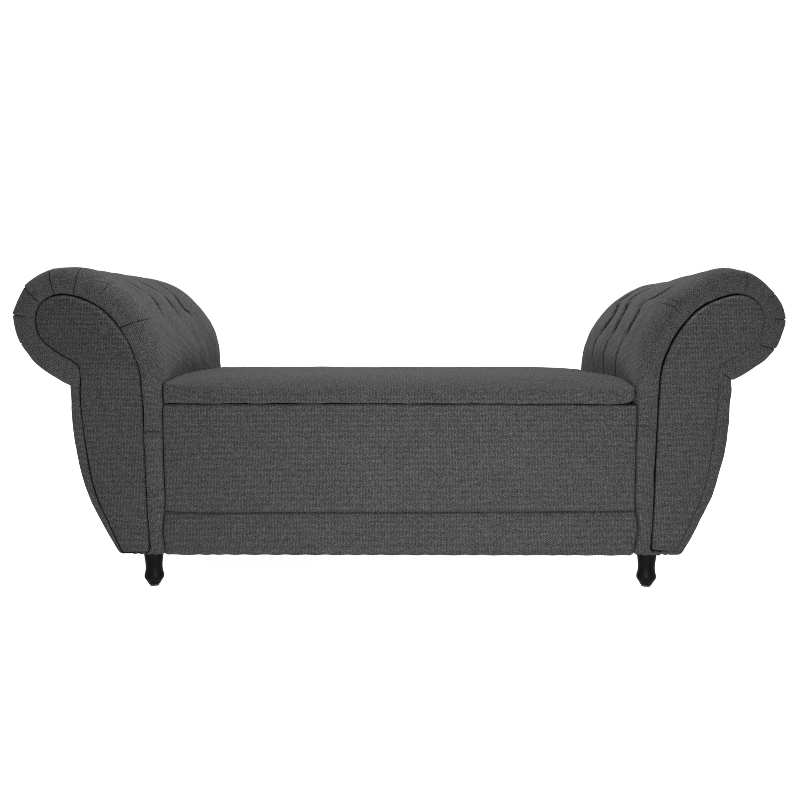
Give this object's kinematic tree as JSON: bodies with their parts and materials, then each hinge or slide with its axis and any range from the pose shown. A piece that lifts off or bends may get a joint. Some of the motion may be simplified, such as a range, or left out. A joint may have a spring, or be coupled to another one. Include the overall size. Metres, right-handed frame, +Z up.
{
  "type": "storage recamier",
  "caption": "Long upholstered storage bench with outward scroll arms, tufted arm insides, a hinged padded seat lid on gas stays over a box, and short turned legs.",
  "frame": {"origin": "on the floor under the middle of the bench", "axes": "+X along the bench, +Y from the front to the back, +Z up"},
  "size_m": [1.599, 0.56, 0.6865],
  "materials": {
    "charcoal_fabric": "matte linen weave",
    "dust_cloth": "matte",
    "plywood": "raw plywood",
    "pine": "raw sawn wood",
    "dark_wood": "dark satin stain",
    "zinc_steel": "zinc plated",
    "bright_steel": "polished",
    "stay_paint": "satin black",
    "glide_plastic": "matte",
    "bumper_rubber": "matte"
  },
  "bodies": {
    "frame": {"left_arm_front_profile": "plywood", "left_arm_rear_profile": "plywood", "left_arm_bottom_rail": "pine", "left_arm_battens": "pine", "left_arm_inner_board": "plywood", "left_arm_outer_panel": "plywood", "left_arm_padding": "charcoal_fabric", "left_arm_front_facing": "charcoal_fabric", "left_arm_rear_facing": "charcoal_fabric", "left_arm_buttons": "charcoal_fabric", "left_side_board": "plywood", "right_arm_front_profile": "plywood", "right_arm_rear_profile": "plywood", "right_arm_bottom_rail": "pine", "right_arm_battens": "pine", "right_arm_inner_board": "plywood", "right_arm_outer_panel": "plywood", "right_arm_padding": "charcoal_fabric", "right_arm_front_facing": "charcoal_fabric", "right_arm_rear_facing": "charcoal_fabric", "right_arm_buttons": "charcoal_fabric", "right_side_board": "plywood", "front_board": "plywood", "front_pad": "charcoal_fabric", "base_front_rail": "pine", "plinth_pad": "charcoal_fabric", "back_board": "plywood", "back_cover": "charcoal_fabric", "bottom_board": "plywood", "base_rails": "pine", "box_top_rails": "pine", "box_corner_battens": "pine", "dust_cover": "dust_cloth", "front_left_leg": "dark_wood", "front_right_leg": "dark_wood", "rear_left_leg": "dark_wood", "rear_right_leg": "dark_wood", "leg_glides": "glide_plastic", "leg_studs": "zinc_steel", "leg_inserts": "zinc_steel", "arm_bolts": "zinc_steel", "arm_bolt_nuts": "zinc_steel", "hinge_fixed_leaves": "zinc_steel", "hinge_pins": "zinc_steel", "hinge_screws_frame": "zinc_steel", "stay_frame_brackets": "zinc_steel", "stay_screws_frame": "zinc_steel"},
    "lid": {"lid_board": "plywood", "lid_battens": "pine", "lid_pad": "charcoal_fabric", "lid_bumpers": "bumper_rubber", "hinge_moving_leaves": "zinc_steel", "hinge_screws_lid": "zinc_steel", "stay_lid_brackets": "zinc_steel", "stay_screws_lid": "zinc_steel"},
    "left_stay_tube": {"left_stay_cylinder": "stay_paint"},
    "left_stay_piston": {"left_stay_rod": "bright_steel"},
    "right_stay_tube": {"right_stay_cylinder": "stay_paint"},
    "right_stay_piston": {"right_stay_rod": "bright_steel"}
  },
  "joints": [
    {"name": "lid_hinge", "type": "hinge", "parent": "frame", "child": "lid", "pos_m": [0, 0.2725, 0.39975], "axis": [-1, 0, 0], "range_deg": [0, 80]},
    {"name": "left_stay_base_pivot", "type": "hinge", "parent": "frame", "child": "left_stay_tube", "pos_m": [-0.458, 0.2125, 0.17771], "axis": [-1, 0, 0], "range_deg": [0, 40]},
    {"name": "left_stay_head_pivot", "type": "hinge", "parent": "lid", "child": "left_stay_piston", "pos_m": [-0.458, 0.04321, 0.38175], "axis": [-1, 0, 0], "range_deg": [-40, 0]},
    {"name": "right_stay_base_pivot", "type": "hinge", "parent": "frame", "child": "right_stay_tube", "pos_m": [0.458, 0.2125, 0.17771], "axis": [-1, 0, 0], "range_deg": [0, 40]},
    {"name": "right_stay_head_pivot", "type": "hinge", "parent": "lid", "child": "right_stay_piston", "pos_m": [0.458, 0.04321, 0.38175], "axis": [-1, 0, 0], "range_deg": [-40, 0]}
  ],
  "couplings": [
    {"joint": "left_stay_base_pivot", "follows": "lid_hinge", "ratio": 0.5},
    {"joint": "left_stay_head_pivot", "follows": "lid_hinge", "ratio": -0.5},
    {"joint": "right_stay_base_pivot", "follows": "lid_hinge", "ratio": 0.5},
    {"joint": "right_stay_head_pivot", "follows": "lid_hinge", "ratio": -0.5}
  ]
}
